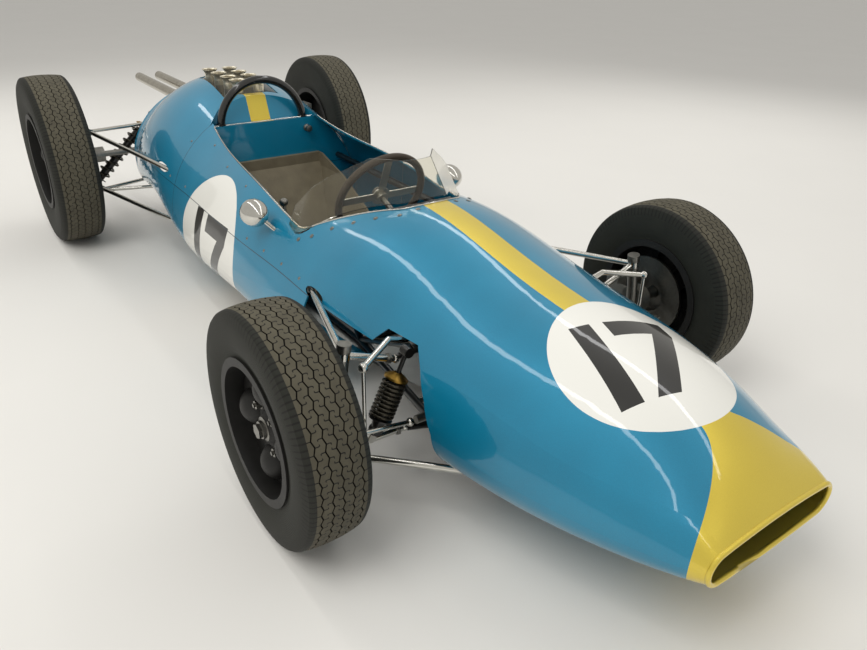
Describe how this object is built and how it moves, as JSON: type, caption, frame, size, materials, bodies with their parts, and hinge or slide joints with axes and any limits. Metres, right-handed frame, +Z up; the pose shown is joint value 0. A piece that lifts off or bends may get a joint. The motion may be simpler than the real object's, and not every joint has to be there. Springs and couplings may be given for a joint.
{
  "type": "open wheel racing car",
  "caption": "Rear engined single seat racing car with a tubular frame, open wheels, steering that turns the front wheels, and open cockpit.",
  "frame": {"origin": "on the floor under the centre line, halfway along the car between the nose and the tips of the tail pipes, which is also halfway between the axles", "axes": "+X to the nose, +Y to the driver's left, +Z up"},
  "size_m": [3.96, 1.5204, 0.7799],
  "materials": {
    "body_paint": "gloss metallic blue paint with a gold stripe",
    "frame_paint": "satin black enamel",
    "seat_shell": "grey brown moulded shell",
    "sheet": "bare aluminium sheet",
    "screen": "clear sheet",
    "chrome": "polished plating",
    "steel": "machined steel",
    "cast": "sand cast light alloy",
    "black": "black enamel",
    "tyre_rubber": "treaded rubber",
    "engine_cast": "cast block"
  },
  "bodies": {
    "chassis": {"body_top": "body_paint", "engine_cover": "body_paint", "side_panels": "body_paint", "floor_pan": "sheet", "rear_bulkhead": "body_paint", "windscreen": "screen", "roll_hoop": "frame_paint", "space_frame": "frame_paint", "seat": "seat_shell", "instrument_panel": "black", "gear_lever": "steel", "pedals": "steel", "radiator": "black", "engine": "engine_cast", "intake_trumpets": "chrome", "exhausts": "chrome", "gearbox": "cast", "rack_housing": "cast", "front_wishbones": "chrome", "front_dampers": "black", "anti_roll_bar": "chrome", "rear_uprights": "cast", "rear_links": "chrome", "radius_rods": "chrome", "rear_dampers": "black", "mirrors": "body_paint"},
    "steering": {"steering_wheel": "black", "steering_column": "steel"},
    "rack": {"rack_bar": "steel"},
    "track_rod_left": {"track_rod_left": "chrome"},
    "knuckle_left": {"front_upright_left": "steel", "front_caliper_left": "cast"},
    "wheel_front_left": {"tyre_front_left": "tyre_rubber", "rim_front_left": "black", "brake_disc_left": "steel"},
    "wheel_rear_left": {"tyre_rear_left": "tyre_rubber", "rim_rear_left": "black", "half_shaft_left": "steel"},
    "track_rod_right": {"track_rod_right": "chrome"},
    "knuckle_right": {"front_upright_right": "steel", "front_caliper_right": "cast"},
    "wheel_front_right": {"tyre_front_right": "tyre_rubber", "rim_front_right": "black", "brake_disc_right": "steel"},
    "wheel_rear_right": {"tyre_rear_right": "tyre_rubber", "rim_rear_right": "black", "half_shaft_right": "steel"}
  },
  "joints": [
    {"name": "steering", "type": "hinge", "parent": "chassis", "child": "steering", "pos_m": [0.515, 0, 0.533], "axis": [-0.9197, 0, 0.3927], "range_deg": [-270, 270]},
    {"name": "rack", "type": "slide", "parent": "chassis", "child": "rack", "axis": [0, 1, 0], "range_m": [-0.036, 0.036]},
    {"name": "knuckle_left", "type": "hinge", "parent": "chassis", "child": "knuckle_left", "pos_m": [1.1555, 0.54, 0.146], "axis": [0, -0.1487, 0.9889], "range_deg": [-22.6, 22.6]},
    {"name": "track_rod_left", "type": "hinge", "parent": "knuckle_left", "child": "track_rod_left", "pos_m": [1.245, 0.53, 0.25], "axis": [0, -0.1487, 0.9889], "range_deg": [-22, 22]},
    {"name": "front_wheel_left", "type": "hinge", "parent": "knuckle_left", "child": "wheel_front_left", "pos_m": [1.1555, 0.661, 0.287], "axis": [0, 1, 0], "continuous": true},
    {"name": "rear_wheel_left", "type": "hinge", "parent": "chassis", "child": "wheel_rear_left", "pos_m": [-1.1555, 0.666, 0.362], "axis": [0, 1, 0], "continuous": true},
    {"name": "knuckle_right", "type": "hinge", "parent": "chassis", "child": "knuckle_right", "pos_m": [1.1555, -0.54, 0.146], "axis": [0, 0.1487, 0.9889], "range_deg": [-22.6, 22.6]},
    {"name": "track_rod_right", "type": "hinge", "parent": "knuckle_right", "child": "track_rod_right", "pos_m": [1.245, -0.53, 0.25], "axis": [0, 0.1487, 0.9889], "range_deg": [-22, 22]},
    {"name": "front_wheel_right", "type": "hinge", "parent": "knuckle_right", "child": "wheel_front_right", "pos_m": [1.1555, -0.661, 0.287], "axis": [0, 1, 0], "continuous": true},
    {"name": "rear_wheel_right", "type": "hinge", "parent": "chassis", "child": "wheel_rear_right", "pos_m": [-1.1555, -0.666, 0.362], "axis": [0, 1, 0], "continuous": true}
  ],
  "couplings": [
    {"joint": "rack", "follows": "steering", "m_per_rad": 0.00732},
    {"joint": "knuckle_left", "follows": "steering", "ratio": 0.083333},
    {"joint": "track_rod_left", "follows": "steering", "ratio": -0.0804},
    {"joint": "knuckle_right", "follows": "steering", "ratio": 0.083333},
    {"joint": "track_rod_right", "follows": "steering", "ratio": -0.0804}
  ]
}
